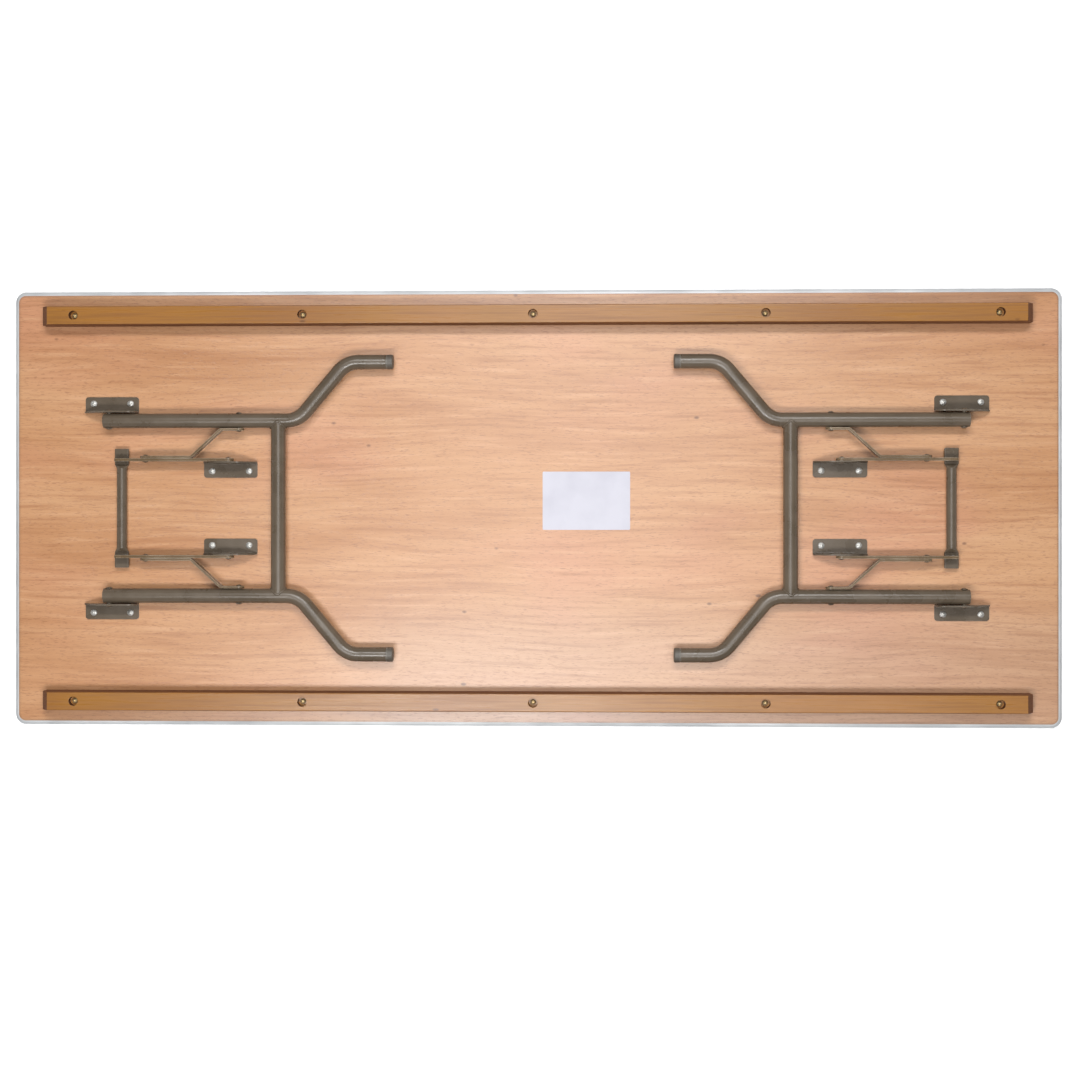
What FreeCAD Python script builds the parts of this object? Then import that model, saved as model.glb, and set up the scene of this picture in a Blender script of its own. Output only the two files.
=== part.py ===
import FreeCAD, Part
import math
import os

# Low folding table, lying face down with both leg frames folded flat against its underside.
# Millimetres. X runs along the table, Y across it, Z up. The dining face lies at Z = 0.

V = FreeCAD.Vector
UP = V(0, 0, 1)
ALONG = V(1, 0, 0)
ACROSS = V(0, 1, 0)
FULL_TURN = 360
ENDS = {"left": -1, "right": 1}
SIDES = {"front": -1, "back": 1}

# Table top and its aluminium edge
table_length = 1829.0
table_width = 762.0
ply_thickness = 19.0
ply_corner_radius = 12.0
nose_depth = 7.0
nose_round = 5.5
tongue_depth = 7.0
tongue_thickness = 2.4
tongue_side_clearance = 0.2
tongue_end_clearance = 0.5
moulding_fit = 0.1
seam_gap = 0.4
seam_from_corner = 57.0

# Stacking runners
runner_end_inset = 56.5
runner_edge_inset = 29.5
runner_width = 32.0
runner_height = 38.0
runner_bevel_length = 12.0
runner_bevel_height = 16.0
runner_edge_round = 2.0
runner_screw_count = 5
runner_screw_end_inset = 58.0
counterbore_diameter = 16.0
counterbore_depth = 13.0

# Screws
screw_diameter = 4.2
screw_fit = 0.05
screw_point = 4.0
runner_head_diameter = 9.6
bracket_head_diameter = 11.6
pan_head_height = 3.3
pan_head_rim = 0.9
bracket_screw_bite = 13.0
runner_screw_bite = 12.0
pilot_tip_room = 0.5
runner_hole_clearance = 0.2

# Stamped angle brackets
bracket_length = 94.0
bracket_width = 28.0
bracket_thickness = 2.5
bracket_bend_radius = 2.0
bracket_corner_radius = 5.0
bracket_screw_inset = 14.5
bracket_screw_edge = 11.5
bracket_hole_clearance = 0.4
ear_shoulder = 9.0
ear_crown_reach = 20.0
hinge_ear_reach = 45.0
ear_crown_above_pivot = 11.5
ear_crown_radius = 12.0

# Leg frames
hinge_inset = 173.5
leg_reach = 498.0
leg_tube_diameter = 25.4
leg_tube_wall = 1.5
leg_spacing = 305.0
foot_runner_room = 52.8
hinge_end_length = 9.0
leg_corner_from_hinge = 331.5
foot_run_length = 81.3
leg_bend_radius = 44.0
cross_tube_from_hinge = 297.0
cross_tube_diameter = 25.4
cross_tube_wall = 1.5
weld_gap = 0.1
foot_cap_length = 12.0
foot_cap_round = 2.5
foot_stem_length = 22.0
foot_stem_fit = 0.1
foot_stem_taper = 1.0
foot_seat_gap = 0.1
foot_ring_width = 1.6
foot_ring_depth = 0.8

# Hinge pins and leg rivets
hinge_pin_diameter = 8.0
hinge_head_diameter = 13.0
hinge_head_height = 2.6
hinge_side_gap = 1.8
rivet_diameter = 6.4
rivet_head_diameter = 11.0
rivet_head_height = 2.2
pin_fit = 0.05
head_gap = 0.2

# Over-centre braces: upper arms with a lock bar, and lower links to the legs
brace_pivot_from_hinge = 209.5
leg_rivet_from_hinge = 228.0
brace_ear_half_span = 81.5
arm_width = 19.0
arm_thickness = 5.0
arm_side_gap = 0.3
arm_tip_past_bar = 9.0
arm_tip_round = 4.0
link_width = 18.0
link_thickness = 4.0
link_side_gap = 0.5
link_leg_gap = 0.6
link_pad_length = 30.5
link_jog_angle = 42.5
link_bend_radius = 7.0
bar_diameter = 17.5
bar_wall = 1.5
bar_slit = 0.6
bar_from_elbow = 44.5
bar_flat_width = 25.0
bar_flat_margin = 5.0
bar_overhang = 12.7
bar_pinch_length = 7.0
bar_flat_round = 2.0
bar_table_gap = 1.95

# Heights above the floor, and places along and across the table
underside = ply_thickness
bar_flat_thickness = 2 * bar_wall + bar_slit
bar_below_pivot = (arm_width + bar_flat_thickness) / 2
pivot_height = underside + bar_table_gap + bar_diameter / 2 + bar_below_pivot
bar_height = pivot_height - bar_below_pivot

hinge_x = table_length / 2 - hinge_inset
foot_x = hinge_x - leg_reach
leg_tube_end_x = foot_x + foot_cap_length
leg_rivet_x = hinge_x - leg_rivet_from_hinge
brace_pivot_x = hinge_x - brace_pivot_from_hinge
leg_y = leg_spacing / 2
leg_inner_y = leg_y - leg_tube_diameter / 2
leg_outer_y = leg_y + leg_tube_diameter / 2
hinge_ear_y = leg_outer_y + hinge_side_gap

# The brace is straight with the leg upright and folds flat with it, which fixes both its lengths
brace_straight = math.hypot(brace_pivot_from_hinge, leg_rivet_from_hinge)
brace_offset = leg_rivet_from_hinge - brace_pivot_from_hinge
arm_length = (brace_straight - brace_offset) / 2
link_length = (brace_straight + brace_offset) / 2
elbow_x = brace_pivot_x + arm_length
bar_x = elbow_x + bar_from_elbow

arm_inner_y = brace_ear_half_span + arm_side_gap
arm_outer_y = arm_inner_y + arm_thickness
link_inner_y = arm_outer_y + link_side_gap
link_outer_y = link_inner_y + link_thickness
pad_outer_y = leg_inner_y - link_leg_gap
pad_inner_y = pad_outer_y - link_thickness
bar_end_y = link_outer_y + bar_overhang
bar_flat_y = arm_inner_y - bar_flat_margin

runner_half_length = table_length / 2 - runner_end_inset
runner_outer_y = table_width / 2 - runner_edge_inset
runner_y = runner_outer_y - runner_width / 2
runner_screw_pitch = 2 * (runner_half_length - runner_screw_end_inset) / (runner_screw_count - 1)
foot_y = runner_outer_y - runner_width - foot_runner_room - leg_tube_diameter / 2
runner_screw_seat = underside + runner_height - counterbore_depth

ply_half_length = table_length / 2 - nose_depth - moulding_fit
ply_half_width = table_width / 2 - nose_depth - moulding_fit


# Drawing helpers

def on_floor(u, v):
    return V(u, v, 0)


def on_side(u, v):
    return V(u, 0, v)


def on_end(u, v):
    return V(0, u, v)


def line(start, finish):
    return Part.LineSegment(start, finish).toShape()


def arc(start, middle, finish):
    return Part.Arc(start, middle, finish).toShape()


def round_corner(before, corner, after, radius):
    """Start, middle and end of the tangent arc that rounds a corner."""
    to_before = (before - corner).normalize()
    to_after = (after - corner).normalize()
    half_angle = to_before.getAngle(to_after) / 2
    setback = radius / math.tan(half_angle)
    inward = (to_before + to_after).normalize()
    middle = corner + inward * (radius / math.sin(half_angle) - radius)
    return corner + to_before * setback, middle, corner + to_after * setback


def route(points, radius):
    """Open wire through points, with one radius at every corner between its ends."""
    edges = []
    here = points[0]
    for before, corner, after in zip(points, points[1:], points[2:]):
        start, middle, finish = round_corner(before, corner, after, radius)
        edges += [line(here, start), arc(start, middle, finish)]
        here = finish
    edges.append(line(here, points[-1]))
    return Part.Wire(edges)


def outline(corners, plane):
    """Closed wire through corners given as (u, v, radius) on a plane."""
    places = [plane(u, v) for u, v, radius in corners]
    count = len(places)
    spans = []
    for i, (u, v, radius) in enumerate(corners):
        if radius > 0:
            spans.append(round_corner(places[i - 1], places[i], places[(i + 1) % count], radius))
        else:
            spans.append((places[i],))
    edges = []
    for i, span in enumerate(spans):
        if len(span) > 1:
            edges.append(arc(*span))
        following = spans[(i + 1) % count][0]
        if span[-1].distanceToPoint(following) > Part.Precision.confusion():
            edges.append(line(span[-1], following))
    return Part.Wire(edges)


def rectangle(low_u, low_v, high_u, high_v, radius, plane):
    corners = [(low_u, low_v), (high_u, low_v), (high_u, high_v), (low_u, high_v)]
    return outline([(u, v, radius) for u, v in corners], plane)


def prism(wire, start, travel):
    """Solid made by moving a flat outline from a start along a travel."""
    body = Part.Face(wire).extrude(travel)
    body.translate(start)
    return body


def sweep(path, section):
    return path.makePipeShell([section], True, False)


def rod(x, y, z, radius, length, direction):
    return Part.makeCylinder(radius, length, V(x, y, z), direction)


def cross_hole(x, start_y, finish_y, radius):
    """Cutter for a hole across the table at pivot height."""
    return rod(x, start_y, pivot_height, radius, finish_y - start_y, ACROSS)


def set_in(shape, end, side):
    """The same piece at an end and a side of the table."""
    placed = shape
    if end < 0:
        placed = placed.mirror(V(0, 0, 0), ALONG)
    if side < 0:
        placed = placed.mirror(V(0, 0, 0), ACROSS)
    return placed


def group(shapes):
    return Part.makeCompound(shapes)


def dome(radius, seat, height):
    """Points of a domed head's profile, from its rim over to its crown on the axis."""
    ball = (radius ** 2 + height ** 2) / (2 * abs(height))
    centre = seat + height - math.copysign(ball, height)
    half_angle = math.asin(radius / ball) / 2
    shoulder = V(ball * math.sin(half_angle), centre + math.copysign(ball * math.cos(half_angle), height), 0)
    return V(radius, seat, 0), shoulder, V(0, seat + height, 0)


def rivet(x, shank_radius, low_y, high_y, head_radius, head_height, low_head=True, high_head=True):
    """Round pin across the table at pivot height, with a domed head on the ends asked for."""
    top_rim, top_shoulder, crown = dome(head_radius, high_y, head_height)
    foot_rim, foot_shoulder, foot = dome(head_radius, low_y, -head_height)
    low_edge = V(shank_radius, low_y, 0)
    high_edge = V(shank_radius, high_y, 0)
    if low_head:
        edges = [arc(foot, foot_shoulder, foot_rim), line(foot_rim, low_edge)]
    else:
        foot = V(0, low_y, 0)
        edges = [line(foot, low_edge)]
    edges.append(line(low_edge, high_edge))
    if high_head:
        edges += [line(high_edge, top_rim), arc(top_rim, top_shoulder, crown)]
    else:
        crown = V(0, high_y, 0)
        edges.append(line(high_edge, crown))
    edges.append(line(crown, foot))
    body = Part.Face(Part.Wire(edges)).revolve(V(0, 0, 0), ACROSS, FULL_TURN)
    body.translate(V(x, 0, pivot_height))
    return body


def pan_screw(x, y, seat, length, head_diameter):
    """Wood screw standing head up, with its pan head on a seat."""
    shank = screw_diameter / 2
    head = head_diameter / 2
    tip = on_side(0, seat - length)
    head_profile = dome(head, seat + pan_head_rim, pan_head_height - pan_head_rim)
    rim, shoulder, crown = [on_side(point.x, point.y) for point in head_profile]
    shank_end = on_side(shank, seat - length + screw_point)
    profile = [tip, shank_end, on_side(shank, seat), on_side(head, seat), rim]
    edges = [line(start, finish) for start, finish in zip(profile, profile[1:])]
    edges += [arc(rim, shoulder, crown), line(crown, tip)]
    body = Part.Face(Part.Wire(edges)).revolve(V(0, 0, 0), UP, FULL_TURN)
    body.translate(V(x, y, 0))
    return body


# Table top, edge and runners

def runner_screw_places():
    first = -(runner_screw_count - 1) / 2
    return [((first + i) * runner_screw_pitch, side * runner_y)
            for side in SIDES.values() for i in range(runner_screw_count)]


def bracket_screw_places():
    """Screw places of all the brackets, from one hinge bracket and one brace bracket."""
    reach = bracket_length / 2 - bracket_screw_inset
    rows = [
        (hinge_x, hinge_ear_y + bracket_width - bracket_screw_edge),
        (brace_pivot_x, brace_ear_half_span - bracket_width + bracket_screw_edge),
    ]
    return [(end * (x + step), side * y)
            for end in ENDS.values() for side in SIDES.values() for x, y in rows for step in (-reach, reach)]


def pilot_hole(x, y, bite):
    depth = bite + pilot_tip_room
    return rod(x, y, underside - depth, screw_diameter / 2 + screw_fit, depth, UP)


def ply_slab(inset, low, height):
    radius = max(ply_corner_radius - inset, 0)
    wire = rectangle(inset - ply_half_length, inset - ply_half_width,
                     ply_half_length - inset, ply_half_width - inset, radius, on_floor)
    return prism(wire, UP * low, UP * height)


def table_top():
    """Plywood panel, grooved all round for the edge's tongue and drilled for the screws."""
    groove_height = tongue_thickness + 2 * tongue_side_clearance
    groove_low = (ply_thickness - groove_height) / 2
    groove_depth = tongue_depth + tongue_end_clearance - moulding_fit
    groove = ply_slab(0, groove_low, groove_height).cut(ply_slab(groove_depth, groove_low, groove_height))
    holes = [pilot_hole(x, y, runner_screw_bite) for x, y in runner_screw_places()]
    holes += [pilot_hole(x, y, bracket_screw_bite) for x, y in bracket_screw_places()]
    return ply_slab(0, 0, ply_thickness).cut([groove] + holes)


def edge_moulding():
    """Rounded aluminium nose with a tongue, bent round the panel in one length with one butt seam."""
    edge_x = table_length / 2 - nose_depth
    edge_y = table_width / 2 - nose_depth
    seam_y = seam_from_corner - table_width / 2
    radius = ply_corner_radius + moulding_fit
    path = route([
        V(edge_x, seam_y - seam_gap / 2, 0),
        V(edge_x, -edge_y, 0),
        V(-edge_x, -edge_y, 0),
        V(-edge_x, edge_y, 0),
        V(edge_x, edge_y, 0),
        V(edge_x, seam_y + seam_gap / 2, 0),
    ], radius)
    middle = ply_thickness / 2
    half_tongue = tongue_thickness / 2
    section = outline([
        (0, 0, 0),
        (nose_depth, 0, nose_round),
        (nose_depth, ply_thickness, nose_round),
        (0, ply_thickness, 0),
        (0, middle + half_tongue, 0),
        (-tongue_depth, middle + half_tongue, 0),
        (-tongue_depth, middle - half_tongue, 0),
        (0, middle - half_tongue, 0),
    ], on_side)
    section.translate(path.OrderedVertexes[0].Point)
    return sweep(path, section)


def runner(side):
    """Hardwood strip with bevelled ends and counterbored screw holes."""
    bottom = underside
    top = underside + runner_height
    bevel_x = runner_half_length - runner_bevel_length
    profile = outline([
        (-runner_half_length, bottom, 0),
        (runner_half_length, bottom, 0),
        (runner_half_length, top - runner_bevel_height, 0),
        (bevel_x, top, 0),
        (-bevel_x, top, 0),
        (-runner_half_length, top - runner_bevel_height, 0),
    ], on_side)
    body = prism(profile, ACROSS * (runner_y - runner_width / 2), ACROSS * runner_width)
    rounded = outline([
        (runner_y - runner_width / 2, bottom, 0),
        (runner_y + runner_width / 2, bottom, 0),
        (runner_y + runner_width / 2, top, runner_edge_round),
        (runner_y - runner_width / 2, top, runner_edge_round),
    ], on_end)
    body = body.common(prism(rounded, ALONG * -runner_half_length, ALONG * 2 * runner_half_length))
    body = set_in(body, 1, side)
    cuts = []
    for x, y in runner_screw_places():
        if y * side > 0:
            cuts.append(rod(x, y, bottom, screw_diameter / 2 + runner_hole_clearance, runner_height, UP))
            cuts.append(rod(x, y, runner_screw_seat, counterbore_diameter / 2, counterbore_depth, UP))
    return body.cut(cuts)


def runner_screws():
    length = runner_screw_seat - underside + runner_screw_bite
    return group([pan_screw(x, y, runner_screw_seat, length, runner_head_diameter)
                  for x, y in runner_screw_places()])


def bracket_screws():
    seat = underside + bracket_thickness
    length = bracket_thickness + bracket_screw_bite
    return group([pan_screw(x, y, seat, length, bracket_head_diameter) for x, y in bracket_screw_places()])


# Angle brackets

def angle_bracket(pivot_radius, inward_reach):
    """Stamped angle with its ear's outer face at Y = 0 and its base running to -Y, on the underside.

    The ear's crown reaches inward along the table from the pivot as far as is asked."""
    thickness = bracket_thickness
    inner = bracket_bend_radius
    outer = inner + thickness
    height = pivot_height - underside + ear_crown_above_pivot
    half_length = bracket_length / 2
    section = outline([
        (-bracket_width, 0, 0),
        (0, 0, outer),
        (0, height, 0),
        (-thickness, height, 0),
        (-thickness, thickness, inner),
        (-bracket_width, thickness, 0),
    ], on_end)
    body = prism(section, ALONG * -half_length, ALONG * bracket_length)
    ear = outline([
        (-half_length, 0, 0),
        (half_length, 0, 0),
        (half_length, ear_shoulder, 0),
        (ear_crown_reach, height, ear_crown_radius),
        (-inward_reach, height, ear_crown_radius),
        (-half_length, ear_shoulder, 0),
    ], on_side)
    body = body.common(prism(ear, ACROSS * -bracket_width, ACROSS * bracket_width))
    base = outline([
        (-half_length, -bracket_width, bracket_corner_radius),
        (half_length, -bracket_width, bracket_corner_radius),
        (half_length, 0, 0),
        (-half_length, 0, 0),
    ], on_floor)
    body = body.common(prism(base, V(0, 0, 0), UP * height))
    body.translate(UP * underside)
    reach = half_length - bracket_screw_inset
    hole = screw_diameter / 2 + bracket_hole_clearance
    hole_y = bracket_screw_edge - bracket_width
    cuts = [rod(x, hole_y, underside, hole, thickness, UP) for x in (-reach, reach)]
    cuts.append(cross_hole(0, -thickness, 0, pivot_radius))
    return body.cut(cuts)


def hinge_bracket():
    body = angle_bracket(hinge_pin_diameter / 2 + pin_fit, hinge_ear_reach).mirror(V(0, 0, 0), ACROSS)
    body.translate(V(hinge_x, hinge_ear_y, 0))
    return body


def brace_bracket():
    body = angle_bracket(rivet_diameter / 2 + pin_fit, ear_crown_reach)
    body.translate(V(brace_pivot_x, brace_ear_half_span, 0))
    return body


def hinge_pin():
    low = leg_inner_y - head_gap
    high = hinge_ear_y + bracket_thickness + head_gap
    return rivet(hinge_x, hinge_pin_diameter / 2, low, high, hinge_head_diameter / 2, hinge_head_height)


def brace_rivet():
    low = brace_ear_half_span - bracket_thickness - head_gap
    high = arm_outer_y + head_gap
    return rivet(brace_pivot_x, rivet_diameter / 2, low, high, rivet_head_diameter / 2, rivet_head_height)


# Leg frames

def leg_route():
    """Centre line of a leg tube, from its hinge end out to its foot."""
    return route([
        V(hinge_x + hinge_end_length, leg_y, pivot_height),
        V(hinge_x - leg_corner_from_hinge, leg_y, pivot_height),
        V(foot_x + foot_run_length, foot_y, pivot_height),
        V(leg_tube_end_x, foot_y, pivot_height),
    ], leg_bend_radius)


def leg_tube():
    """Bent steel tube with cross holes for its hinge pin and brace rivet."""
    path = leg_route()
    start = path.OrderedVertexes[0].Point
    outer = Part.Wire(Part.makeCircle(leg_tube_diameter / 2, start, ALONG))
    inner = Part.Wire(Part.makeCircle(leg_tube_diameter / 2 - leg_tube_wall, start, ALONG))
    tube = sweep(path, outer).cut(sweep(path, inner))
    return tube.cut([
        cross_hole(hinge_x, leg_inner_y, leg_outer_y, hinge_pin_diameter / 2 + pin_fit),
        cross_hole(leg_rivet_x, leg_inner_y, leg_outer_y, rivet_diameter / 2 + pin_fit),
    ])


def cross_tube():
    """Tube between the legs, its ends coped to fit round them."""
    x = hinge_x - cross_tube_from_hinge
    outer = rod(x, -leg_y, pivot_height, cross_tube_diameter / 2, leg_spacing, ACROSS)
    inner = rod(x, -leg_y, pivot_height, cross_tube_diameter / 2 - cross_tube_wall, leg_spacing, ACROSS)
    cope_radius = leg_tube_diameter / 2 + weld_gap
    start = x - cross_tube_diameter
    copes = [rod(start, side * leg_y, pivot_height, cope_radius, 2 * cross_tube_diameter, ALONG)
             for side in SIDES.values()]
    return outer.cut([inner] + copes)


def foot_cap():
    """Turned foot plug: a rounded head as wide as the tube, a ring groove and a tapered stem inside it."""
    head = leg_tube_diameter / 2
    stem = head - leg_tube_wall - foot_stem_fit
    seat = foot_cap_length - foot_seat_gap
    ring = seat - foot_ring_width
    stem_end = seat + foot_stem_length
    profile = outline([
        (0, 0, 0),
        (0, head, foot_cap_round),
        (ring, head, 0),
        (ring, head - foot_ring_depth, 0),
        (seat, head - foot_ring_depth, 0),
        (seat, stem, 0),
        (stem_end, stem - foot_stem_taper, 0),
        (stem_end, 0, 0),
    ], on_side)
    body = Part.Face(profile).revolve(V(0, 0, 0), ALONG, FULL_TURN)
    body.translate(V(foot_x, foot_y, pivot_height))
    return body


def leg_rivet():
    low = pad_inner_y - head_gap
    high = leg_outer_y + head_gap
    return rivet(leg_rivet_x, rivet_diameter / 2, low, high, rivet_head_diameter / 2, rivet_head_height)


# Over-centre braces

def brace_arm():
    """Flat bar on edge, from its bracket past the elbow to the lock bar that its tip carries."""
    half = arm_width / 2
    tip = bar_x + arm_tip_past_bar
    profile = outline([
        (brace_pivot_x - half, pivot_height - half, half),
        (tip, pivot_height - half, arm_tip_round),
        (tip, pivot_height + half, arm_tip_round),
        (brace_pivot_x - half, pivot_height + half, half),
    ], on_side)
    hole = rivet_diameter / 2 + pin_fit
    body = prism(profile, ACROSS * arm_inner_y, ACROSS * arm_thickness)
    return body.cut([cross_hole(x, arm_inner_y, arm_outer_y, hole) for x in (brace_pivot_x, elbow_x)])


def elbow_rivet():
    """The arm's half of the elbow rivet, flush where the link turns past it."""
    return rivet(elbow_x, rivet_diameter / 2, arm_inner_y, arm_outer_y,
                 rivet_head_diameter / 2, rivet_head_height, high_head=False)


def lower_link():
    """Flat bar on edge, jogged out from the elbow to lie beside the leg tube, with rounded ends."""
    half = link_width / 2
    elbow_y = (link_inner_y + link_outer_y) / 2
    pad_y = (pad_inner_y + pad_outer_y) / 2
    pad_x = leg_rivet_x + link_pad_length
    jog_x = pad_x + (pad_y - elbow_y) / math.tan(math.radians(link_jog_angle))
    path = route([
        V(elbow_x + half, elbow_y, pivot_height),
        V(jog_x, elbow_y, pivot_height),
        V(pad_x, pad_y, pivot_height),
        V(leg_rivet_x - half, pad_y, pivot_height),
    ], link_bend_radius)
    low = pivot_height - half
    high = pivot_height + half
    section = rectangle(link_inner_y, low, link_outer_y, high, 0, on_end)
    section.translate(ALONG * (elbow_x + half))
    bar = sweep(path, section)
    ends = rectangle(leg_rivet_x - half, low, elbow_x + half, high, half, on_side)
    bar = bar.common(prism(ends, V(0, 0, 0), ACROSS * leg_y))
    hole = rivet_diameter / 2 + pin_fit
    return bar.cut([
        cross_hole(elbow_x, link_inner_y, link_outer_y, hole),
        cross_hole(leg_rivet_x, pad_inner_y, pad_outer_y, hole),
    ])


def link_rivet():
    """The link's half of the elbow rivet."""
    return rivet(elbow_x, rivet_diameter / 2, link_inner_y, link_outer_y,
                 rivet_head_diameter / 2, rivet_head_height, low_head=False)


def round_section(radius, y):
    """Circle across the bar in four arcs, which pair with the sides of a flattened section."""
    corner = radius * math.sqrt(0.5)
    corners = [(corner, corner), (-corner, corner), (-corner, -corner), (corner, -corner)]
    crowns = [(0, radius), (-radius, 0), (0, -radius), (radius, 0)]
    places = [V(bar_x + u, y, bar_height + v) for u, v in corners]
    middles = [V(bar_x + u, y, bar_height + v) for u, v in crowns]
    following = places[1:] + places[:1]
    return Part.Wire([arc(*span) for span in zip(places, middles, following)])


def flat_section(width, thickness, y):
    """Flattened tube across the bar: two flat sides joined by two half-round folds."""
    fold = thickness / 2
    straight = width / 2 - fold
    corners = [(straight, fold), (-straight, fold), (-straight, -fold), (straight, -fold)]
    places = [V(bar_x + u, y, bar_height + v) for u, v in corners]
    left = V(bar_x - width / 2, y, bar_height)
    right = V(bar_x + width / 2, y, bar_height)
    return Part.Wire([
        line(places[0], places[1]),
        arc(places[1], left, places[2]),
        line(places[2], places[3]),
        arc(places[3], right, places[0]),
    ])


def flattened_tube(radius, width, thickness):
    """Solid along the lock bar, round in the middle and pinched flat towards both ends."""
    round_y = bar_flat_y - bar_pinch_length
    body = rod(bar_x, -round_y, bar_height, radius, 2 * round_y, ACROSS)
    for side in SIDES.values():
        shoulder = round_section(radius, side * round_y)
        pinched = flat_section(width, thickness, side * bar_flat_y)
        tip = flat_section(width, thickness, side * bar_end_y)
        lofts = [Part.makeLoft(sections, True, True) for sections in ([shoulder, pinched], [pinched, tip])]
        body = body.fuse(lofts)
    return body


def lock_bar():
    """Tube whose ends are flattened to carry the arms' tips, and to stop the links past straight."""
    outer = flattened_tube(bar_diameter / 2, bar_flat_width, bar_flat_thickness)
    inner = flattened_tube(bar_diameter / 2 - bar_wall, bar_flat_width - 2 * bar_wall, bar_slit)
    ends = rectangle(bar_x - bar_flat_width / 2, -bar_end_y, bar_x + bar_flat_width / 2, bar_end_y,
                     bar_flat_round, on_floor)
    trim = prism(ends, UP * (bar_height - bar_diameter), UP * 2 * bar_diameter)
    return outer.cut(inner).common(trim)


# All the pieces, each under the name of its file

def pieces():
    made = {
        "table_top": table_top(),
        "edge_moulding": edge_moulding(),
        "runner_screws": runner_screws(),
        "bracket_screws": bracket_screws(),
    }
    for side_name, side in SIDES.items():
        made["runner_" + side_name] = runner(side)
    quarter = {
        "hinge_bracket": hinge_bracket(),
        "brace_bracket": brace_bracket(),
        "leg_tube": leg_tube(),
        "foot_cap": foot_cap(),
        "brace_arm": brace_arm(),
        "lower_link": lower_link(),
        "link_rivet": link_rivet(),
    }
    paired = {"leg_rivets": leg_rivet(), "elbow_rivets": elbow_rivet()}
    whole = {"cross_tube": cross_tube(), "lock_bar": lock_bar()}
    for end_name, end in ENDS.items():
        for name, shape in whole.items():
            made[name + "_" + end_name] = set_in(shape, end, 1)
        for name, shape in paired.items():
            made[name + "_" + end_name] = group([set_in(shape, end, side) for side in SIDES.values()])
        for side_name, side in SIDES.items():
            for name, shape in quarter.items():
                made["_".join([name, end_name, side_name])] = set_in(shape, end, side)
    fixed = {"hinge_pins": hinge_pin(), "brace_rivets": brace_rivet()}
    for name, shape in fixed.items():
        made[name] = group([set_in(shape, end, side) for end in ENDS.values() for side in SIDES.values()])
    return made


os.makedirs("parts", exist_ok=True)
for name, shape in pieces().items():
    shape.exportStep("parts/" + name + ".step")
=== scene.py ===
import math

import bmesh
import bpy
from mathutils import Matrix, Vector


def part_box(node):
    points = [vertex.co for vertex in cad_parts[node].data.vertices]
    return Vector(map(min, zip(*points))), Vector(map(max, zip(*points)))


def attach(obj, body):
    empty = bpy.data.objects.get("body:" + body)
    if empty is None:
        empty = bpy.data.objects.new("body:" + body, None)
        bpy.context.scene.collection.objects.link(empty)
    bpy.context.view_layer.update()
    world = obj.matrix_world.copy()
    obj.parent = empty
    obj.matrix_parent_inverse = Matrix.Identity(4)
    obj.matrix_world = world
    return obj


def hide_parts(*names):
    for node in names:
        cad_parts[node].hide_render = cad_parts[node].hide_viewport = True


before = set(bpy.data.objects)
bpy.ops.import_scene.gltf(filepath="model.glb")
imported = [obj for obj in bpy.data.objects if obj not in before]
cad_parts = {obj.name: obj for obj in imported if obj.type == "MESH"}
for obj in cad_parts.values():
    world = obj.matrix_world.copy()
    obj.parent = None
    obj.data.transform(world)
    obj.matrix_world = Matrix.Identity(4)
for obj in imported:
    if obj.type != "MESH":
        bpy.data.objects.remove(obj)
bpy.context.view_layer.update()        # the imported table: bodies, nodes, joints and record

ENDS = ("left", "right")
SIDES = ("front", "back")
MM = 0.001

# Height of the underside, read from the frame
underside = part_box("table_top")[1].z


# Material helpers

# Cosine of an eased normal's turn where an edge shows fully, and where it ends
edge_full = 0.86
edge_end = 0.98
bevel_samples = 4
# Share of a knot's reach that is dark right through
knot_core = 0.4


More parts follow.
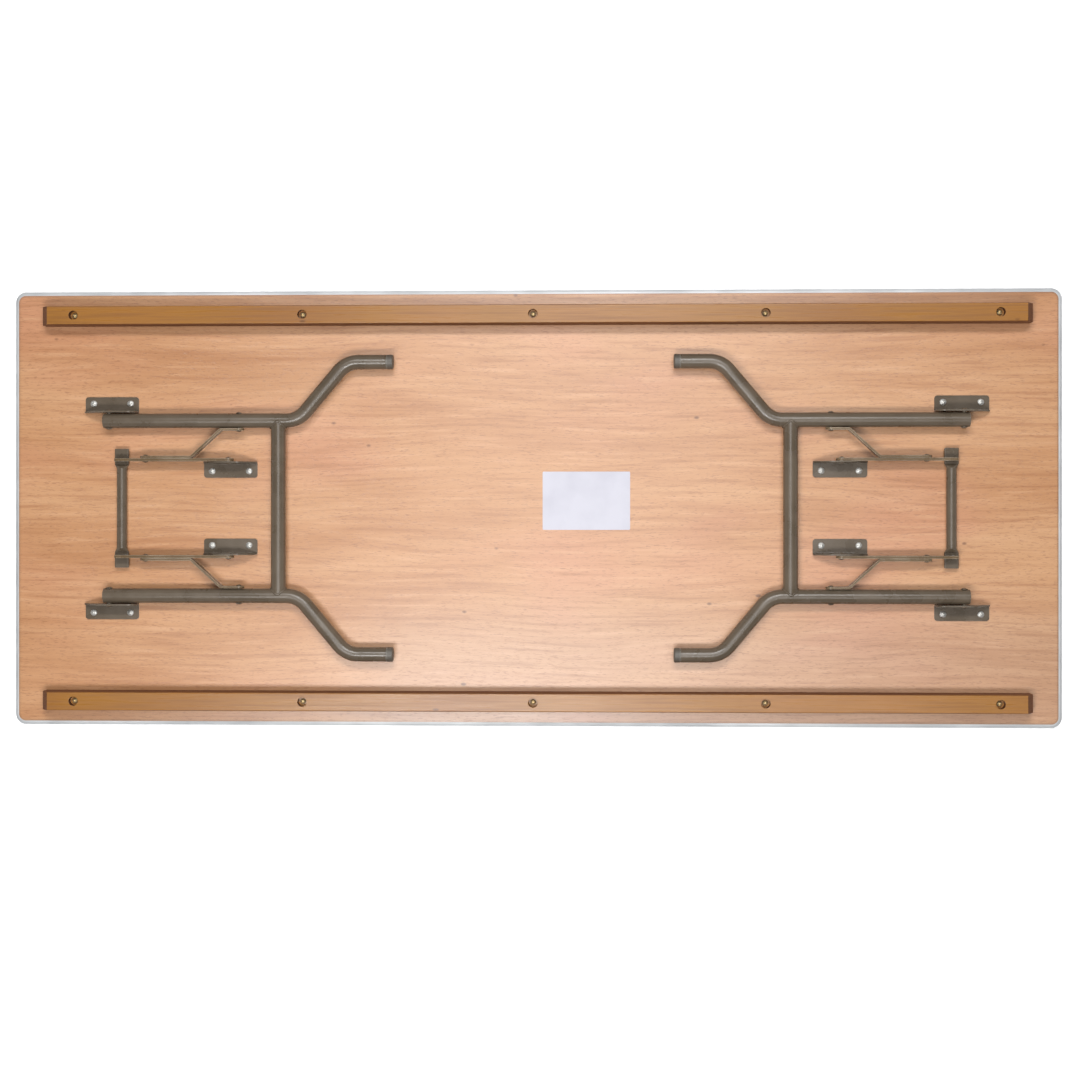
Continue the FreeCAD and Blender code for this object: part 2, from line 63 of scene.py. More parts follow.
class Recipe:
    """One node material, with short calls that add and link its nodes."""

    def __init__(self, name):
        self.material = bpy.data.materials.new(name)
        self.material.use_nodes = True
        self.tree = self.material.node_tree
        self.tree.nodes.clear()
        self.shader = self.add("ShaderNodeBsdfPrincipled")
        output = self.add("ShaderNodeOutputMaterial")
        self.link(self.shader.outputs["BSDF"], output.inputs["Surface"])
        self.place = self.add("ShaderNodeTexCoord").outputs["Object"]

    def add(self, kind, **settings):
        node = self.tree.nodes.new(kind)
        for name, value in settings.items():
            setattr(node, name, value)
        return node

    def link(self, source, target):
        self.tree.links.new(source, target)

    def feed(self, node, name, value):
        """Sets an input, or links it where the value is another node's output."""
        if isinstance(value, bpy.types.NodeSocket):
            self.link(value, node.inputs[name])
        else:
            node.inputs[name].default_value = value

    def parts(self, vector):
        """X, Y and Z of a vector, by name."""
        node = self.add("ShaderNodeSeparateXYZ")
        self.link(vector, node.inputs["Vector"])
        return node.outputs

    def stretched(self, scale, where=None):
        """Coordinates in waves per metre along each axis, the object's own where no others are given."""
        node = self.add("ShaderNodeMapping")
        node.inputs["Scale"].default_value = scale
        self.link(where or self.place, node.inputs["Vector"])
        return node.outputs["Vector"]

    def swayed(self, pace, reach):
        """Object coordinates whose lines along X sway across by a reach in metres."""
        drift = self.noise(self.stretched(pace), detail=2.0)
        across = self.add("ShaderNodeCombineXYZ")
        self.link(self.math("MULTIPLY", drift, reach), across.inputs["Y"])
        moved = self.add("ShaderNodeVectorMath", operation="ADD")
        self.link(self.place, moved.inputs[0])
        self.link(across.outputs["Vector"], moved.inputs[1])
        return moved.outputs["Vector"]

    def noise(self, where, scale=1.0, detail=3.0, rough=0.5, distortion=0.0):
        node = self.add("ShaderNodeTexNoise")
        self.feed(node, "Vector", where)
        self.feed(node, "Scale", scale)
        self.feed(node, "Detail", detail)
        self.feed(node, "Roughness", rough)
        self.feed(node, "Distortion", distortion)
        return node.outputs["Fac"]

    def cells(self, where):
        """Distance to the nearest cell point, and a random value of that cell."""
        node = self.add("ShaderNodeTexVoronoi")
        self.feed(node, "Vector", where)
        self.feed(node, "Scale", 1.0)
        pick = self.add("ShaderNodeSeparateColor")
        self.link(node.outputs["Color"], pick.inputs["Color"])
        return node.outputs["Distance"], pick.outputs["Red"]

    def knots(self, pace, reach, left_out):
        """One in scattered round spots and nothing around them, with a share of the spots left out."""
        spot, chance = self.cells(self.stretched(pace))
        near = self.range(spot, knot_core * reach, reach, 1.0, 0.0)
        return self.math("MULTIPLY", near, self.math("GREATER_THAN", chance, left_out))

    def ramp(self, value, *stops):
        """Colour of a value, from stops given as (position, colour)."""
        node = self.add("ShaderNodeValToRGB")
        points = node.color_ramp.elements
        while len(points) < len(stops):
            points.new(1.0)
        for point, (position, colour) in zip(points, stops):
            point.position = position
            point.color = (*colour, 1.0)
        self.link(value, node.inputs["Fac"])
        return node.outputs["Color"]

    def range(self, value, low, high, out_low=0.0, out_high=1.0):
        """A value's span from low to high, taken smoothly to another span."""
        node = self.add("ShaderNodeMapRange", interpolation_type="SMOOTHSTEP")
        self.feed(node, "Value", value)
        self.feed(node, "From Min", low)
        self.feed(node, "From Max", high)
        self.feed(node, "To Min", out_low)
        self.feed(node, "To Max", out_high)
        return node.outputs["Result"]

    def math(self, operation, first, second=0.0):
        node = self.add("ShaderNodeMath", operation=operation)
        for socket, value in zip(node.inputs, (first, second)):
            if isinstance(value, bpy.types.NodeSocket):
                self.link(value, socket)
            else:
                socket.default_value = value
        return node.outputs["Value"]

    def mix(self, share, first, second):
        """Two colours mixed by a share."""
        node = self.add("ShaderNodeMix", data_type="RGBA")
        colours = [socket for socket in node.inputs if socket.type == "RGBA"]
        for socket, value in zip(colours, (first, second)):
            if isinstance(value, bpy.types.NodeSocket):
                self.link(value, socket)
            else:
                socket.default_value = (*value, 1.0)
        self.feed(node, "Factor", share)
        return next(socket for socket in node.outputs if socket.type == "RGBA")

    def dulled(self, share, colour, saturation, value):
        """A colour drawn towards a lower saturation and value by a share."""
        node = self.add("ShaderNodeHueSaturation")
        self.feed(node, "Saturation", saturation)
        self.feed(node, "Value", value)
        self.feed(node, "Fac", share)
        self.feed(node, "Color", colour)
        return node.outputs["Color"]

    def bump(self, height, depth, under=None):
        """Surface normal of a height, of a depth in metres."""
        node = self.add("ShaderNodeBump")
        self.feed(node, "Height", height)
        self.feed(node, "Distance", depth)
        if under is not None:
            self.link(under, node.inputs["Normal"])
        return node.outputs["Normal"]

    def eased(self, radius):
        """Surface normal with the edges eased by a radius."""
        node = self.add("ShaderNodeBevel", samples=bevel_samples)
        self.feed(node, "Radius", radius)
        return node.outputs["Normal"]

    def edges(self, radius):
        """One along the edges of the surface, and nothing away from them."""
        true_normal = self.add("ShaderNodeNewGeometry").outputs["Normal"]
        turn = self.add("ShaderNodeVectorMath", operation="DOT_PRODUCT")
        self.link(self.eased(radius), turn.inputs[0])
        self.link(true_normal, turn.inputs[1])
        return self.range(turn.outputs["Value"], edge_full, edge_end, 1.0, 0.0)

    def finish(self, **sockets):
        """The material, with its shader's inputs set by name."""
        for name, value in sockets.items():
            self.feed(self.shader, name.replace("_", " "), value)
        return self.material


# Materials

def plywood():
    """Lacquered beech veneer: bands, streaks, short flecks, fibre, pin knots, a painted shadow line along
    its edges and a front dulled as painted sheen.
    """
    dark_band = (0.465, 0.221, 0.097)
    middle_band = (0.530, 0.271, 0.127)
    pale_band = (0.577, 0.315, 0.157)
    pink_patch = (0.550, 0.250, 0.142)
    dark_streak = (0.370, 0.158, 0.064)
    pale_streak = (0.625, 0.350, 0.190)
    fleck_brown = (0.270, 0.104, 0.040)
    fibre_brown = (0.330, 0.140, 0.062)
    knot_brown = (0.130, 0.050, 0.022)
    seam_shadow_brown = (0.110, 0.055, 0.032)
    sway_pace = (1.2, 4.0, 4.0)
    sway_reach = 70.0 * MM
    band_pace = (1.8, 15.0, 15.0)
    streak_pace = (7.0, 140.0, 140.0)
    fleck_pace = (105.0, 820.0, 820.0)
    fibre_pace = (30.0, 2200.0, 2200.0)
    patch_pace = (2.4, 5.0, 5.0)
    knot_pace = (9.0, 15.0, 15.0)
    knot_darkness = 0.75
    # Stretch of the front that is dulled as a painted stand-in for the lacquer's glare
    glare_full_y = -270.0 * MM
    glare_end_y = -100.0 * MM
    glare_start_x = -420.0 * MM
    glare_full_x = -200.0 * MM
    glare_saturation = 0.90
    glare_value = 0.945
    # Width and strength of the painted shadow line along the panel's edges
    seam_shadow_width = 7.0 * MM
    seam_shadow_darkness = 0.60
    grain_depth = 0.08 * MM

    wood = Recipe("lacquered_plywood")
    grown = wood.swayed(sway_pace, sway_reach)
    bands = wood.noise(wood.stretched(band_pace, grown), detail=4.0, rough=0.55, distortion=0.5)
    streaks = wood.noise(wood.stretched(streak_pace, grown), detail=4.0, rough=0.62, distortion=0.25)
    flecks = wood.noise(wood.stretched(fleck_pace, grown), detail=2.0)
    fibre = wood.noise(wood.stretched(fibre_pace, grown), detail=2.0, rough=0.6)
    patches = wood.noise(wood.stretched(patch_pace), detail=2.0)

    colour = wood.ramp(bands, (0.30, dark_band), (0.50, middle_band), (0.70, pale_band))
    pink_share = wood.range(patches, 0.50, 0.70, out_high=0.55)
    colour = wood.mix(pink_share, colour, pink_patch)
    dark_share = wood.range(streaks, 0.49, 0.70, out_high=0.58)
    colour = wood.mix(dark_share, colour, dark_streak)
    pale_share = wood.range(streaks, 0.30, 0.47, out_low=0.60, out_high=0.0)
    colour = wood.mix(pale_share, colour, pale_streak)
    fleck_share = wood.range(flecks, 0.57, 0.67, out_high=0.50)
    colour = wood.mix(fleck_share, colour, fleck_brown)
    fibre_share = wood.range(fibre, 0.35, 0.75, out_high=0.16)
    colour = wood.mix(fibre_share, colour, fibre_brown)
    knots = wood.knots(knot_pace, reach=0.060, left_out=0.40)
    colour = wood.mix(wood.math("MULTIPLY", knots, knot_darkness), colour, knot_brown)

    # Towards the front, right of the left end, the colour is drawn less saturated and a little darker:
    # painted sheen standing for the lacquer's glare.
    place = wood.parts(wood.place)
    front = wood.range(place["Y"], glare_full_y, glare_end_y, out_low=1.0, out_high=0.0)
    beyond_left = wood.range(place["X"], glare_start_x, glare_full_x)
    painted_glare_share = wood.math("MULTIPLY", front, beyond_left)
    colour = wood.dulled(painted_glare_share, colour, glare_saturation, glare_value)
    # Darker along the panel's edges, where it meets the moulding: a painted shadow line in the gap.
    seam_shadow = wood.edges(seam_shadow_width)
    colour = wood.mix(wood.math("MULTIPLY", seam_shadow, seam_shadow_darkness), colour, seam_shadow_brown)

    sheen = wood.range(bands, 0.25, 0.75, out_low=0.31, out_high=0.38)
    height = wood.math("SUBTRACT", wood.math("MULTIPLY", fibre, 0.5), fleck_share)
    normal = wood.bump(height, grain_depth)
    return wood.finish(Base_Color=colour, Roughness=sheen, IOR=1.68, Normal=normal)


def runner_wood():
    """Oiled hardwood: straight grain, broad changes of tone, pin knots, sides darkened as stain and
    painted shade, and ends darkened as end grain and painted shade.
    """
    dark_tone = (0.286, 0.118, 0.027)
    middle_tone = (0.321, 0.141, 0.026)
    pale_tone = (0.341, 0.149, 0.036)
    grain_brown = (0.190, 0.074, 0.020)
    fibre_brown = (0.150, 0.062, 0.022)
    knot_brown = (0.105, 0.040, 0.014)
    # Side colours: partly a darker stain, partly painted shade
    pale_side_stain_and_shade = (0.168, 0.055, 0.009)
    dark_side_stain_and_shade = (0.088, 0.025, 0.003)
    # End colours: partly end grain, partly painted shade
    pale_end_grain_and_shade = (0.140, 0.037, 0.003)
    dark_end_grain_and_shade = (0.070, 0.017, 0.001)
    tone_pace = (2.7, 4.0, 4.0)
    grain_pace = (6.0, 230.0, 230.0)
    fibre_pace = (40.0, 1500.0, 1500.0)
    pore_pace = (60.0, 420.0, 420.0)
    knot_pace = (14.0, 36.0, 36.0)
    knot_darkness = 0.70
    sawn_roughness = 0.55
    grain_depth = 0.12 * MM
    edge_ease = 1.2 * MM

    wood = Recipe("oiled_hardwood")
    tone = wood.noise(wood.stretched(tone_pace), detail=1.5)
    grain = wood.noise(wood.stretched(grain_pace), detail=4.0, rough=0.6, distortion=0.3)
    fibre = wood.noise(wood.stretched(fibre_pace), detail=2.0, rough=0.6)
    pores = wood.noise(wood.stretched(pore_pace), detail=3.0, rough=0.7)

    colour = wood.ramp(tone, (0.34, dark_tone), (0.50, middle_tone), (0.66, pale_tone))
    grain_share = wood.range(grain, 0.42, 0.70, out_high=0.50)
    colour = wood.mix(grain_share, colour, grain_brown)
    fibre_share = wood.range(fibre, 0.40, 0.75, out_high=0.18)
    colour = wood.mix(fibre_share, colour, fibre_brown)
    knots = wood.knots(knot_pace, reach=0.11, left_out=0.30)
    colour = wood.mix(wood.math("MULTIPLY", knots, knot_darkness), colour, knot_brown)

    # The sides are drawn dark brown: partly a darker stain, partly painted shade of faces turned from the
    # light.
    facing = wood.parts(wood.add("ShaderNodeTexCoord").outputs["Normal"])
    sides = wood.range(wood.math("ABSOLUTE", facing["Y"]), 0.4, 0.8, out_high=0.90)
    side_stain_and_shade = wood.ramp(grain, (0.35, pale_side_stain_and_shade), (0.68, dark_side_stain_and_shade))
    colour = wood.mix(sides, colour, side_stain_and_shade)
    # The ends are drawn darker still: partly end grain, partly painted shade of ends turned from the
    # light.
    ends = wood.range(wood.math("ABSOLUTE", facing["X"]), 0.3, 0.7, out_high=0.92)
    end_grain_and_shade = wood.ramp(pores, (0.38, pale_end_grain_and_shade), (0.62, dark_end_grain_and_shade))
    colour = wood.mix(ends, colour, end_grain_and_shade)

    sawn = wood.math("MULTIPLY", wood.math("MAXIMUM", sides, ends), sawn_roughness)
    oiled = wood.range(grain, 0.3, 0.7, out_low=0.26, out_high=0.34)
    rough = wood.math("ADD", oiled, sawn)
    height = wood.math("ADD", wood.math("MULTIPLY", grain, 0.6), wood.math("MULTIPLY", fibre, 0.4))
    normal = wood.bump(height, grain_depth, wood.eased(edge_ease))
    return wood.finish(Base_Color=colour, Roughness=rough, IOR=1.48, Normal=normal)


def edge_aluminium():
    """Drawn aluminium with fine lines along its length and a dull bloom."""
    dull = (0.61, 0.62, 0.63)
    bright = (0.70, 0.71, 0.72)
    line_pace = (3.0, 3.0, 900.0)
    line_depth = 0.006 * MM

    metal = Recipe("drawn_aluminium")
    lines = metal.noise(metal.stretched(line_pace), detail=2.0, rough=0.6)
    bloom = metal.noise(metal.place, scale=18.0, detail=3.0)
    colour = metal.ramp(bloom, (0.35, dull), (0.65, bright))
    rough = metal.range(lines, 0.3, 0.7, out_low=0.72, out_high=0.86)
    normal = metal.bump(lines, line_depth)
    return metal.finish(Base_Color=colour, Metallic=1.0, Roughness=rough, Normal=normal)


def satin_paint(name, tones, bare_and_highlight, rub_highlight_width, least_rub_highlight, most_rub_highlight):
    """Baked enamel of two close tones with orange peel, lightened along its edges towards a bare colour:
    partly rubbed wear, partly a painted highlight.
    """
    dark, pale = tones
    speck_brown = (0.050, 0.042, 0.034)
    peel_depth = 0.03 * MM
    edge_ease = 0.6 * MM

    paint = Recipe(name)
    tone = paint.noise(paint.place, scale=26.0, detail=4.0)
    peel = paint.noise(paint.place, scale=420.0, detail=1.0)
    grit = paint.noise(paint.place, scale=1400.0, detail=2.0, rough=0.7)
    colour = paint.ramp(tone, (0.35, dark), (0.65, pale))
    speck_share = paint.range(grit, 0.70, 0.80, out_high=0.5)
    colour = paint.mix(speck_share, colour, speck_brown)
    # The edges are drawn lighter: partly wear, partly a painted highlight.
    rub_highlight = paint.range(tone, 0.40, 0.62, out_low=least_rub_highlight, out_high=most_rub_highlight)
    rub_highlight_share = paint.math("MULTIPLY", paint.edges(rub_highlight_width), rub_highlight)
    colour = paint.mix(rub_highlight_share, colour, bare_and_highlight)
    rough = paint.range(tone, 0.3, 0.7, out_low=0.25, out_high=0.33)
    normal = paint.bump(peel, peel_depth, paint.eased(edge_ease))
    return paint.finish(Base_Color=colour, Roughness=rough, Normal=normal)


def zinc_steel(name, dull, bright):
    """Zinc-plated steel with a faint crystalline mottle of two tones."""
    mottle_depth = 0.02 * MM

    metal = Recipe(name)
    mottle = metal.noise(metal.place, scale=900.0, detail=3.0)
    colour = metal.ramp(mottle, (0.35, dull), (0.65, bright))
    rough = metal.range(mottle, 0.3, 0.7, out_low=0.48, out_high=0.62)
    normal = metal.bump(mottle, mottle_depth)
    return metal.finish(Base_Color=colour, Metallic=1.0, Roughness=rough, Normal=normal)


def foot_nylon():
    """Moulded grey nylon, a little duller than the paint beside it, with scuffed rims."""
    dark_grey = (0.080, 0.068, 0.054)
    pale_grey = (0.104, 0.090, 0.073)
    scuffed_grey = (0.340, 0.310, 0.270)
    scuff_width = 1.4 * MM
    scuff_strength = 0.65
    grain_depth = 0.05 * MM

    nylon = Recipe("moulded_nylon")
    grain = nylon.noise(nylon.place, scale=700.0, detail=3.0)
    colour = nylon.ramp(grain, (0.3, dark_grey), (0.7, pale_grey))
    scuff_share = nylon.math("MULTIPLY", nylon.edges(scuff_width), scuff_strength)
    colour = nylon.mix(scuff_share, colour, scuffed_grey)
    rough = nylon.range(grain, 0.3, 0.7, out_low=0.42, out_high=0.55)
    normal = nylon.bump(grain, grain_depth)
    return nylon.finish(Base_Color=colour, Roughness=rough, Normal=normal)


def label_paper():
    """Plain coated paper with a faint fibre."""
    shaded_white = (0.500, 0.495, 0.560)
    clear_white = (0.545, 0.540, 0.605)
    pulp_grey = (0.400, 0.395, 0.450)
    pulp_depth = 0.03 * MM

    paper = Recipe("coated_paper")
    pulp = paper.noise(paper.place, scale=240.0, detail=4.0, rough=0.6)
    cloud = paper.noise(paper.place, scale=22.0, detail=2.0)
    colour = paper.ramp(cloud, (0.35, shaded_white), (0.65, clear_white))
    pulp_share = paper.range(pulp, 0.55, 0.75, out_high=0.12)
    colour = paper.mix(pulp_share, colour, pulp_grey)
    return paper.finish(Base_Color=colour, Roughness=0.45, Normal=paper.bump(pulp, pulp_depth))


grey_brown = ((0.092, 0.070, 0.048), (0.116, 0.089, 0.062))
worn_brown = ((0.112, 0.072, 0.036), (0.138, 0.090, 0.046))
# Bare colours that the paint's edges are lightened towards: wear and painted highlight
greyed_steel_highlight = (0.330, 0.310, 0.280)
browned_steel_highlight = (0.480, 0.395, 0.290)

# Finish of each material slot in the record
finishes = {
    "plywood": plywood(),
    "runner_wood": runner_wood(),
    "edge_aluminium": edge_aluminium(),
    "leg_paint": satin_paint("satin_enamel", grey_brown, greyed_steel_highlight,
                             rub_highlight_width=0.9 * MM, least_rub_highlight=0.10, most_rub_highlight=0.55),
    "zinc_steel": zinc_steel("zinc_plate", dull=(0.60, 0.59, 0.55), bright=(0.78, 0.78, 0.76)),
    "foot_nylon": foot_nylon(),
    "blank_label": label_paper(),
}
# Worn bars, with edges lightened further as wear and painted highlight, and yellowed screws look different
# from the rest of their slot
rubbed_highlit_enamel = satin_paint("rubbed_highlit_enamel", worn_brown, browned_steel_highlight,
                            rub_highlight_width=2.4 * MM, least_rub_highlight=0.45, most_rub_highlight=0.95)
yellowed_zinc = zinc_steel("yellowed_zinc", dull=(0.58, 0.43, 0.21), bright=(0.80, 0.66, 0.40))
worn_highlit_bars = ("brace_arm", "lower_link")


def dress_nodes():
    """Gives every CAD node the finish of its own material slot, and lightens the edges of the bars that
    rub together, as wear and painted highlight.
    """
    for name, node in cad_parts.items():
        for slot in node.material_slots:
            slot.material = rubbed_highlit_enamel if name.startswith(worn_highlit_bars) else finishes[slot.material.name]


# Mesh helpers

def skin(rings, looped):
    """Points and faces of a surface through rings of equal count, with closed ends unless it is looped."""
    count = len(rings[0])
    points = [point for ring in rings for point in ring]
    faces = []
    last = len(rings) if looped else len(rings) - 1
    for i in range(last):
        here = i * count
        there = (i + 1) % len(rings) * count
        for j in range(count):
            k = (j + 1) % count
            faces.append((here + j, here + k, there + k, there + j))
    if not looped:
        faces.append(tuple(reversed(range(count))))
        faces.append(tuple(range(len(points) - count, len(points))))
    return points, faces


def piece(name, surfaces, body, slot, sharp_angle, finish=None):
    """Joins surfaces into one piece that rides on a body, in its slot's finish or another one."""
    points = []
    faces = []
    for surface_points, surface_faces in surfaces:
        start = len(points)
        points += surface_points
        faces += [tuple(start + i for i in face) for face in surface_faces]
    mesh = bpy.data.meshes.new(name)
    mesh.from_pydata([tuple(point) for point in points], [], faces)
    work = bmesh.new()
    work.from_mesh(mesh)
    bmesh.ops.recalc_face_normals(work, faces=work.faces)
    work.to_mesh(mesh)
    work.free()
    mesh.shade_smooth()
    mesh.set_sharp_from_angle(angle=sharp_angle)
    mesh.materials.append(finish or finishes[slot])
    made = bpy.data.objects.new(name, mesh)
    bpy.context.scene.collection.objects.link(made)
    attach(made, body)
    return made


# Screws with a cross recess

screw_shank_radius = 2.1 * MM
screw_tip_radius = 0.1 * MM
screw_point_length = 4.0 * MM
recess_reach = 3.0 * MM
recess_half_width = 0.70 * MM
recess_depth = 1.9 * MM
recess_floor_share = 0.5
dome_shares = (0.97, 0.86, 0.74)
rim_share = 0.98
screw_spacing = 20.0 * MM
screw_sharp_angle = math.radians(28)
golden_turn = math.radians(137.5)
angle_slack = 1e-9


def screws_in(node):
    """Middle, tip, crown, head radius, seat and rim of each screw in a grouped node."""
    found = []
    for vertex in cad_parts[node].data.vertices:
        place = vertex.co
        for screw in found:
            if (place.xy - screw["axis"]).length < screw_spacing:
                screw["points"].append(place)
                break
        else:
            found.append({"axis": place.xy, "points": [place]})
    for screw in found:
        points = screw["points"]
        low = Vector([min(point[i] for point in points) for i in range(3)])
        high = Vector([max(point[i] for point in points) for i in range(3)])
        head_radius = (high.x - low.x) / 2
        middle = (low + high) / 2
        outer = [point.z for point in points if (point.xy - middle.xy).length > rim_share * head_radius]
        yield {"middle": middle, "tip": low.z, "crown": high.z, "head_radius": head_radius,
               "seat": min(outer), "rim": max(outer)}


def recess_angles():
    """Directions round a head that take in every corner of its cross recess."""
    corner = math.atan2(recess_half_width, recess_reach)
    half_quarter = math.radians(45)
    between = (corner + half_quarter) / 2
    quarter = [-corner, 0.0, corner, between, half_quarter, 2 * half_quarter - between]
    return [math.radians(90) * arm + angle for arm in range(4) for angle in quarter]


def recess_radius(angle):
    """Distance from the axis to the edge of the cross recess in a direction."""
    quarter = math.radians(90)
    off_arm = abs((angle + quarter / 2) % quarter - quarter / 2)
    if off_arm <= math.atan2(recess_half_width, recess_reach) + angle_slack:
        return recess_reach / math.cos(off_arm)
    return recess_half_width / math.sin(off_arm)


def cross_screw(screw, turn):
    """Surface of a pan-head wood screw, from its tip to the floor of its recess."""
    middle = screw["middle"]
    tip = screw["tip"]
    crown = screw["crown"]
    head_radius = screw["head_radius"]
    rise = crown - screw["rim"]
    ball = (head_radius ** 2 + rise ** 2) / (2 * rise)

    def dome(radius):
        return crown - ball + math.sqrt(ball ** 2 - radius ** 2)

    def ring(radius, height):
        around = []
        for angle in recess_angles():
            reach = radius(angle) if callable(radius) else radius
            level = height(reach) if callable(height) else height
            around.append(Vector((middle.x + reach * math.cos(angle + turn),
                                  middle.y + reach * math.sin(angle + turn), level)))
        return around

    def floor_radius(angle):
        return recess_radius(angle) * recess_floor_share

    rings = [
        ring(screw_tip_radius, tip),
        ring(screw_shank_radius, tip + screw_point_length),
        ring(screw_shank_radius, screw["seat"]),
        ring(head_radius, screw["seat"]),
        ring(head_radius, screw["rim"]),
    ]
    rings += [ring(head_radius * share, dome) for share in dome_shares]
    rings.append(ring(recess_radius, dome))
    rings.append(ring(floor_radius, crown - recess_depth))
    return skin(rings, False)


def detailed_screws(node, plating):
    """Screws with cross recesses in place of a node's plain ones, each driven to its own angle."""
    screws = [cross_screw(screw, i * golden_turn) for i, screw in enumerate(screws_in(node))]
    made = piece("cross_recess_" + node, screws, "tabletop", "zinc_steel", screw_sharp_angle, plating)
    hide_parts(node)


# Weld beads under the paint

bead_radius = 1.9 * MM
bead_ripple = 0.22 * MM
bead_ripple_pitch = 2.4 * MM
bead_sides = 10
bead_end_power = 4
bead_end_least = 0.02
saddle_steps = 120
saddle_crest = 2.0 * MM
lap_bead_radius = 1.5 * MM
lap_bead_reach = 11.0 * MM
lap_bead_steps = 30
upright = 0.99
bead_sharp_angle = math.radians(60)


def bead(path, radius, looped):
    """Rippled weld bead along a path, tapered at its ends unless it is looped."""
    rings = []
    travelled = 0.0
    count = len(path)
    for i, point in enumerate(path):
        before = path[i - 1] if looped or i else point
        after = path[(i + 1) % count] if looped or i < count - 1 else point
        along = (after - before).normalized()
        if i:
            travelled += (point - path[i - 1]).length
        thick = radius + bead_ripple * math.sin(2 * math.pi * travelled / bead_ripple_pitch)
        if not looped:
            from_middle = 2 * i / (count - 1) - 1
            thick *= math.sqrt(max(1 - from_middle ** bead_end_power, bead_end_least))
        side = along.orthogonal().normalized()
        if abs(along.z) < upright:
            side = along.cross(Vector((0, 0, 1))).normalized()
        lift = side.cross(along)
        turns = [2 * math.pi * j / bead_sides for j in range(bead_sides)]
        rings.append([point + (side * math.cos(turn) + lift * math.sin(turn)) * thick for turn in turns])
    return skin(rings, looped)


def saddle(end, side):
    """Line where a cross tube meets a leg tube of the same size."""
    cross_low, cross_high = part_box("cross_tube_" + end)
    leg_low, leg_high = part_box("leg_tube_" + end + "_" + side)
    middle = (cross_low + cross_high) / 2
    radius = (cross_high.z - cross_low.z) / 2
    outward = 1 if side == "back" else -1
    inner = leg_low.y if side == "back" else leg_high.y
    axis_y = inner + outward * radius
    path = []
    for i in range(saddle_steps):
        turn = 2 * math.pi * i / saddle_steps
        drop = math.hypot(radius * math.cos(turn), saddle_crest)
        path.append(Vector((
            middle.x + radius * math.cos(turn),
            axis_y - outward * drop,
            middle.z + radius * math.sin(turn),
        )))
    return path


def frame_welds(end):
    """Beads round both ends of a leg frame's cross tube."""
    beads = [bead(saddle(end, side), bead_radius, True) for side in SIDES]
    piece("frame_welds_" + end, beads, end + "_leg_frame", "leg_paint", bead_sharp_angle)


def lap_line(end, side):
    """Line on a lock bar's flat, along the inner face of the arm that is welded to it."""
    bar_low, bar_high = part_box("lock_bar_" + end)
    arm_low, arm_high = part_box("brace_arm_" + end + "_" + side)
    middle_x = (bar_low.x + bar_high.x) / 2
    y = arm_low.y if side == "back" else arm_high.y
    step = 2 * lap_bead_reach / lap_bead_steps
    start_x = middle_x - lap_bead_reach
    return [Vector((start_x + step * i, y, arm_low.z)) for i in range(lap_bead_steps + 1)]


def brace_welds(end):
    """Beads that hold a lock bar to its two arms."""
    beads = [bead(lap_line(end, side), lap_bead_radius, False) for side in SIDES]
    piece("brace_welds_" + end, beads, end + "_upper_brace", "leg_paint", bead_sharp_angle)


# Blank paper label

label_centre = Vector((92.0 * MM, 13.0 * MM))
label_length = 152.4 * MM
label_width = 101.6 * MM
label_thickness = 0.15 * MM
label_bevel = 0.045 * MM
label_corner = 2.0 * MM
label_corner_steps = 6
label_sharp_angle = math.radians(20)


def label_outline(inset, height):
    """Rounded rectangle of the label, drawn in by an inset."""
    reach_x = label_length / 2 - label_corner
    reach_y = label_width / 2 - label_corner
    radius = label_corner - inset
    points = []
    for quarter in range(4):
        sign_x = 1 if quarter in (0, 3) else -1
        sign_y = 1 if quarter in (0, 1) else -1
        for i in range(label_corner_steps + 1):
            turn = math.radians(90) * (quarter + i / label_corner_steps)
            points.append(Vector((
                label_centre.x + sign_x * reach_x + radius * math.cos(turn),
                label_centre.y + sign_y * reach_y + radius * math.sin(turn),
                height,
            )))
    return points


def blank_label():
    """Thin label with a softened edge, stuck to the underside."""
    top = underside + label_thickness
    rings = [
        label_outline(0.0, underside),
        label_outline(0.0, top - label_bevel),
        label_outline(label_bevel, top),
    ]
    piece("blank_label", [skin(rings, False)], "tabletop", "blank_label", label_sharp_angle)


# Floor, walls, lights and camera

floor_half_size = 60.0
floor_drop = 0.5 * MM
# The floor glows more with distance from the table, so that it stays pale to the horizon
glow_starts = 1.8
glow_full = 4.5
glow_near = 0.28
glow_far = 0.95
# The walls glow towards the horizon and are dim overhead, by the upward part of a direction
wall_full = 0.06
wall_end = 0.42
wall_glow = 0.90
ceiling_glow = 0.04
camera_distance = 3.0
camera_tilt = math.radians(1.9)
camera_lens = 57.3
camera_sensor = 36.0
camera_reach = 100.0
frame_pixels = 1080
table_centre_pixel = (533.6, 508.2)


def pale_floor():
    """Wide pale floor just under the table."""
    dull_white = (0.95, 0.95, 0.95)
    clear_white = (0.97, 0.97, 0.97)
    glow_white = (1.0, 1.0, 1.0, 1.0)
    mesh = bpy.data.meshes.new("floor")
    half = floor_half_size
    corners = [(-half, -half), (half, -half), (half, half), (-half, half)]
    mesh.from_pydata([(x, y, -floor_drop) for x, y in corners], [], [(0, 1, 2, 3)])
    stone = Recipe("pale_floor")
    cloud = stone.noise(stone.place, scale=1.5, detail=2.0)
    colour = stone.ramp(cloud, (0.3, dull_white), (0.7, clear_white))
    away = stone.add("ShaderNodeVectorMath", operation="LENGTH")
    stone.link(stone.place, away.inputs[0])
    glow = stone.range(away.outputs["Value"], glow_starts, glow_full, glow_near, glow_far)
    mesh.materials.append(stone.finish(Base_Color=colour, Roughness=0.9, Emission_Color=glow_white,
                                       Emission_Strength=glow))
    floor = bpy.data.objects.new("floor", mesh)
    bpy.context.scene.collection.objects.link(floor)


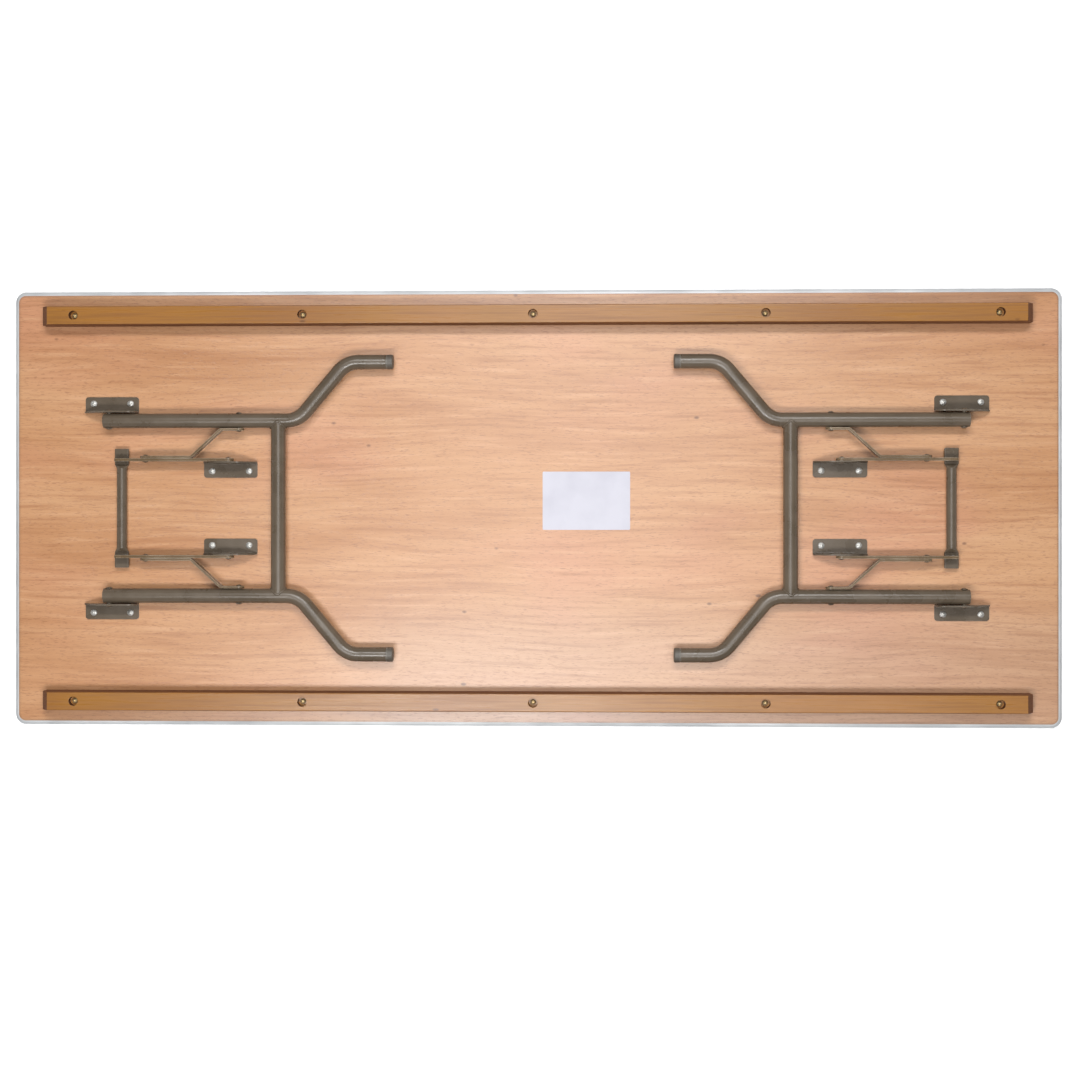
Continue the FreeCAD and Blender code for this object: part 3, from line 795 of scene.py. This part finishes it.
def pale_walls():
    """Dim room whose walls are pale towards the horizon."""
    world = bpy.data.worlds.new("studio")
    world.use_nodes = True
    nodes = world.node_tree.nodes
    links = world.node_tree.links
    height = nodes.new("ShaderNodeSeparateXYZ")
    links.new(nodes.new("ShaderNodeTexCoord").outputs["Generated"], height.inputs["Vector"])
    fade = nodes.new("ShaderNodeMapRange")
    fade.interpolation_type = "SMOOTHSTEP"
    fade.inputs["From Min"].default_value = wall_full
    fade.inputs["From Max"].default_value = wall_end
    fade.inputs["To Min"].default_value = wall_glow
    fade.inputs["To Max"].default_value = ceiling_glow
    links.new(height.outputs["Z"], fade.inputs["Value"])
    nodes["Background"].inputs["Color"].default_value = (1.0, 1.0, 1.0, 1.0)
    links.new(fade.outputs["Result"], nodes["Background"].inputs["Strength"])
    bpy.context.scene.world = world


def softbox(name, place, aim, width, depth, watts):
    """Soft rectangular light at a place, turned towards another."""
    light = bpy.data.lights.new(name, "AREA")
    light.shape = "RECTANGLE"
    light.size = width
    light.size_y = depth
    light.energy = watts
    made = bpy.data.objects.new(name, light)
    made.location = place
    made.rotation_euler = (Vector(aim) - Vector(place)).to_track_quat("-Z", "Y").to_euler()
    bpy.context.scene.collection.objects.link(made)


def studio_light():
    """One softbox overhead, two low over the front edge and one high behind the back edge."""
    softbox("overhead_light", place=(0.1, 0.38, 3.6), aim=(0.1, 0.38, 0.0),
            width=1.3, depth=1.6, watts=27.0)
    softbox("front_light", place=(-0.30, -0.88, 2.42), aim=(-0.30, 0.0, 0.0),
            width=1.0, depth=0.42, watts=25.0)
    softbox("front_fill", place=(0.06, -0.91, 2.50), aim=(0.06, 0.0, 0.0),
            width=2.5, depth=0.42, watts=21.5)
    softbox("back_light", place=(0.14, 1.84, 3.62), aim=(0.14, 0.0, 0.0),
            width=2.3, depth=0.5, watts=97.0)
    bpy.context.scene.view_settings.view_transform = "Standard"


def photo_camera():
    """Camera above the underside, as high and as tilted as the photograph's."""
    lens = bpy.data.cameras.new("camera")
    lens.lens = camera_lens
    lens.sensor_width = camera_sensor
    centre_x, centre_y = table_centre_pixel
    lens.shift_x = (frame_pixels / 2 - centre_x) / frame_pixels
    lens.shift_y = (centre_y - frame_pixels / 2) / frame_pixels
    lens.clip_end = camera_reach
    camera = bpy.data.objects.new("camera", lens)
    away = Vector((math.sin(camera_tilt), 0.0, math.cos(camera_tilt)))
    camera.location = Vector((0.0, 0.0, underside)) + away * camera_distance
    camera.rotation_euler = (0.0, camera_tilt, 0.0)
    bpy.context.scene.collection.objects.link(camera)
    bpy.context.scene.camera = camera


dress_nodes()
detailed_screws("runner_screws", yellowed_zinc)
detailed_screws("bracket_screws", finishes["zinc_steel"])
for end in ENDS:
    frame_welds(end)
    brace_welds(end)
blank_label()
pale_floor()
pale_walls()
studio_light()
photo_camera()
